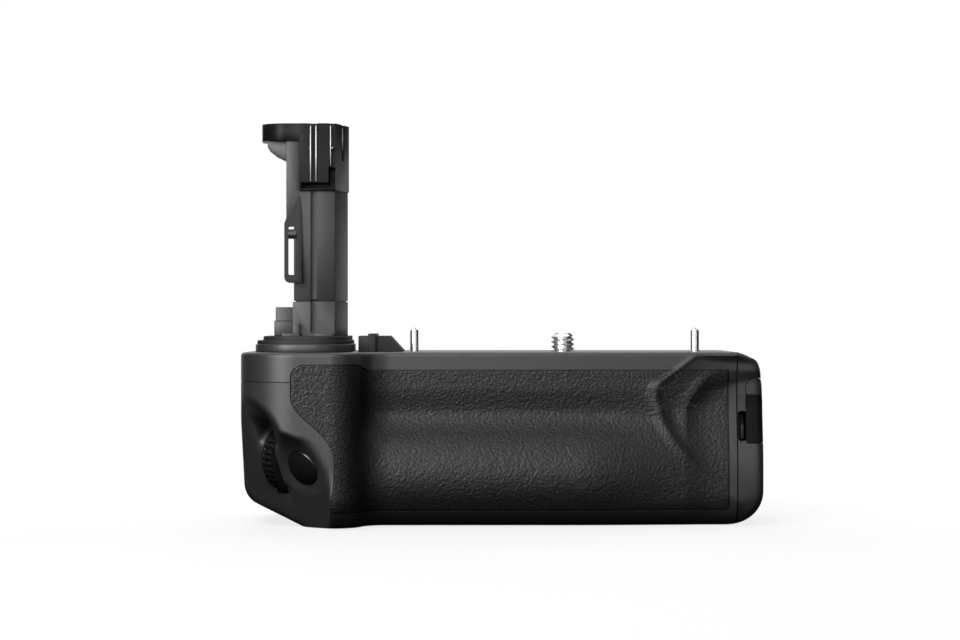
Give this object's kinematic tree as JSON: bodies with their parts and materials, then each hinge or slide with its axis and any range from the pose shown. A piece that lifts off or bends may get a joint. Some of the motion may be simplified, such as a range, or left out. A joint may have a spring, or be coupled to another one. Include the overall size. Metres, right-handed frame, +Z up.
{
  "type": "camera battery grip",
  "caption": "Vertical battery grip that screws under a camera body, with a column for its battery compartment, a shutter button, dial, rear controls and a sliding battery tray.",
  "frame": {"origin": "attachment screw axis on the face that meets the camera", "axes": "+Z up into the camera along the attachment screw, +X towards the battery door, +Y to the back"},
  "size_m": [0.1365, 0.0682, 0.1054],
  "materials": {
    "strip_plastic": "satin dark grey moulding",
    "case_plastic": "fine spark-eroded black moulding",
    "grip_rubber": "pebbled leather-grain rubber",
    "seal_rubber": "smooth black rubber",
    "gloss_plastic": "polished black",
    "chrome": "bright turned steel",
    "steel": "plain steel",
    "contact_metal": "plated contact blades",
    "brass": "turned brass",
    "board": "solder mask green",
    "ribbon": "amber film",
    "pack_plastic": "dark grey moulding"
  },
  "bodies": {
    "grip": {"top_case": "strip_plastic", "lower_case": "case_plastic", "front_grip": "grip_rubber", "rear_grip": "grip_rubber", "case_screws": "steel", "tripod_bush": "steel", "column_seal": "seal_rubber", "column_base": "case_plastic", "column_post": "case_plastic", "column_head": "gloss_plastic", "head_contacts": "contact_metal", "key_block": "case_plastic", "door_keeper": "case_plastic", "keeper_pin": "gloss_plastic", "column_screws": "steel", "door_recess_block": "case_plastic", "locating_pins": "chrome", "thumbwheel_axle": "steel", "gear_bracket": "steel", "bracket_screws": "steel", "shutter_switch": "pack_plastic", "dial_axle": "steel", "control_frame": "pack_plastic", "joystick_housing": "pack_plastic", "control_board": "board", "board_screws": "steel", "board_connector": "pack_plastic", "column_ribbon": "ribbon", "battery_ribbon": "ribbon", "terminal_block": "pack_plastic", "terminal_pins": "brass"},
    "shutter": {"shutter_button": "gloss_plastic"},
    "dial": {"front_dial": "gloss_plastic"},
    "wheel": {"thumbwheel": "gloss_plastic"},
    "screw": {"attachment_screw": "chrome", "screw_pinion": "brass"},
    "tray": {"battery_tray": "pack_plastic", "battery_front": "pack_plastic", "battery_rear": "pack_plastic", "end_cap": "case_plastic", "lever_pin": "steel", "door_seal": "seal_rubber"},
    "latch": {"latch_lever": "case_plastic"},
    "focus": {"focus_button": "gloss_plastic"},
    "lock": {"lock_button": "gloss_plastic"},
    "area": {"area_button": "gloss_plastic"},
    "gimbal": {"joystick_gimbal": "steel"},
    "stick": {"joystick": "gloss_plastic"},
    "power": {"power_lever": "gloss_plastic"}
  },
  "joints": [
    {"name": "shutter_press", "type": "slide", "parent": "grip", "child": "shutter", "axis": [0.5917, 0.7051, 0.3907], "range_m": [0, 0.0012], "stiffness_N_per_m": 800},
    {"name": "dial_spin", "type": "hinge", "parent": "grip", "child": "dial", "pos_m": [-0.0719, -0.02352, -0.0276], "axis": [0.766, -0.6428, 0], "continuous": true},
    {"name": "thumbwheel_spin", "type": "hinge", "parent": "grip", "child": "wheel", "pos_m": [0, 0.016, 0], "axis": [0, 0, 1], "continuous": true},
    {"name": "screw_spin", "type": "hinge", "parent": "grip", "child": "screw", "pos_m": [0, 0, 0], "axis": [0, 0, 1], "continuous": true},
    {"name": "tray_slide", "type": "slide", "parent": "grip", "child": "tray", "axis": [1, 0, 0], "range_m": [0, 0.06]},
    {"name": "latch_swing", "type": "hinge", "parent": "tray", "child": "latch", "pos_m": [0.0499, 0, -0.0086], "axis": [0, -1, 0], "range_deg": [0, 70]},
    {"name": "focus_press", "type": "slide", "parent": "grip", "child": "focus", "axis": [0, -1, 0], "range_m": [0, 0.0008], "stiffness_N_per_m": 1000},
    {"name": "lock_press", "type": "slide", "parent": "grip", "child": "lock", "axis": [0, -1, 0], "range_m": [0, 0.0008], "stiffness_N_per_m": 1000},
    {"name": "area_press", "type": "slide", "parent": "grip", "child": "area", "axis": [0, -1, 0], "range_m": [0, 0.0008], "stiffness_N_per_m": 1000},
    {"name": "stick_up_down", "type": "hinge", "parent": "grip", "child": "gimbal", "pos_m": [-0.0592, 0.0208, -0.019], "axis": [1, 0, 0], "range_deg": [-8, 8], "stiffness_Nm_per_rad": 0.02},
    {"name": "stick_left_right", "type": "hinge", "parent": "gimbal", "child": "stick", "pos_m": [-0.0592, 0.0208, -0.019], "axis": [0, 0, 1], "range_deg": [-8, 8], "stiffness_Nm_per_rad": 0.02},
    {"name": "power_turn", "type": "hinge", "parent": "grip", "child": "power", "pos_m": [-0.0592, 0.026, -0.033], "axis": [0, 1, 0], "range_deg": [0, 35]}
  ],
  "couplings": [
    {"joint": "screw_spin", "follows": "thumbwheel_spin", "ratio": -2.2}
  ]
}
